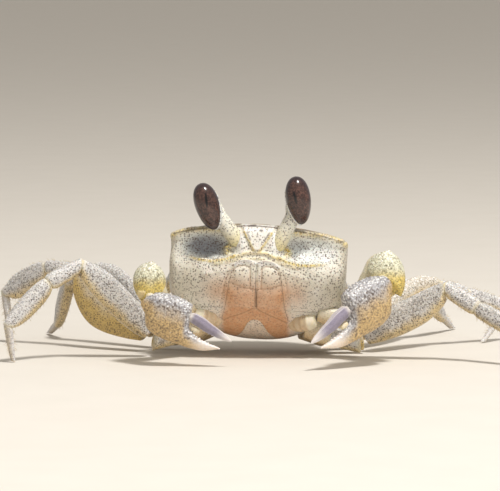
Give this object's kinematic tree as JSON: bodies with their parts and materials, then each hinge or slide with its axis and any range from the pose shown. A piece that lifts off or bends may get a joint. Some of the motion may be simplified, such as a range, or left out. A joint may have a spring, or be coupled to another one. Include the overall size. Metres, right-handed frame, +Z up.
{
  "type": "ghost crab",
  "caption": "Life-size still model of a young ghost crab standing alert on its leg tips, front raised, claws held low before its face and long stalked eyes upright.",
  "frame": {"origin": "on the floor under the middle of the span of the legs", "axes": "+Z up; the crab faces -Y and its own left side is +X, with the face turned 4 degrees to its right, the front raised 11 degrees and the left side 2.8 degrees lower"},
  "size_m": [0.0751, 0.0554, 0.0261],
  "materials": {
    "shell": "cream-white shell with fine dark brown and black speckles and pale yellow ridges, satin",
    "belly_shell": "peach-tan plates with sparse dark dots, satin",
    "leg_shell": "off-white with a dense grey-lilac and black net of speckles, satin to glossy",
    "claw_shell": "grey-violet and tan net pattern over white, pale yellow at the joints, finely granular",
    "claw_finger": "pale lilac-grey with white edges and tips, smooth",
    "toe": "pale, ridged along its length, darker towards the tip",
    "eyestalk": "greenish white with dark specks and a yellow base",
    "cornea": "very glossy dark brown-violet, finely mottled"
  },
  "bodies": {
    "root": {"carapace": "shell", "sternum": "belly_shell", "abdomen": "belly_shell", "maxilliped_right": "belly_shell", "maxilliped_left": "belly_shell", "leg2_right_coxa": "belly_shell", "leg2_right_merus": "leg_shell", "leg2_right_carpus": "leg_shell", "leg2_right_propodus": "leg_shell", "leg2_right_dactyl": "toe", "leg3_right_coxa": "belly_shell", "leg3_right_merus": "leg_shell", "leg3_right_carpus": "leg_shell", "leg3_right_propodus": "leg_shell", "leg3_right_dactyl": "toe", "leg4_right_coxa": "belly_shell", "leg4_right_merus": "leg_shell", "leg4_right_carpus": "leg_shell", "leg4_right_propodus": "leg_shell", "leg4_right_dactyl": "toe", "leg5_right_coxa": "belly_shell", "leg5_right_merus": "leg_shell", "leg5_right_carpus": "leg_shell", "leg5_right_propodus": "leg_shell", "leg5_right_dactyl": "toe", "leg2_left_coxa": "belly_shell", "leg2_left_merus": "leg_shell", "leg2_left_carpus": "leg_shell", "leg2_left_propodus": "leg_shell", "leg2_left_dactyl": "toe", "leg3_left_coxa": "belly_shell", "leg3_left_merus": "leg_shell", "leg3_left_carpus": "leg_shell", "leg3_left_propodus": "leg_shell", "leg3_left_dactyl": "toe", "leg4_left_coxa": "belly_shell", "leg4_left_merus": "leg_shell", "leg4_left_carpus": "leg_shell", "leg4_left_propodus": "leg_shell", "leg4_left_dactyl": "toe", "leg5_left_coxa": "belly_shell", "leg5_left_merus": "leg_shell", "leg5_left_carpus": "leg_shell", "leg5_left_propodus": "leg_shell", "leg5_left_dactyl": "toe", "cheliped_right_coxa": "belly_shell", "cheliped_right_merus": "claw_shell", "cheliped_right_carpus": "claw_shell", "cheliped_right_palm": "claw_shell", "cheliped_right_finger": "claw_finger", "cheliped_left_coxa": "belly_shell", "cheliped_left_merus": "claw_shell", "cheliped_left_carpus": "claw_shell", "cheliped_left_palm": "claw_shell", "cheliped_left_finger": "claw_finger", "eyestalk_right": "eyestalk", "eye_right": "cornea", "eyestalk_left": "eyestalk", "eye_left": "cornea"}
  },
  "joints": []
}
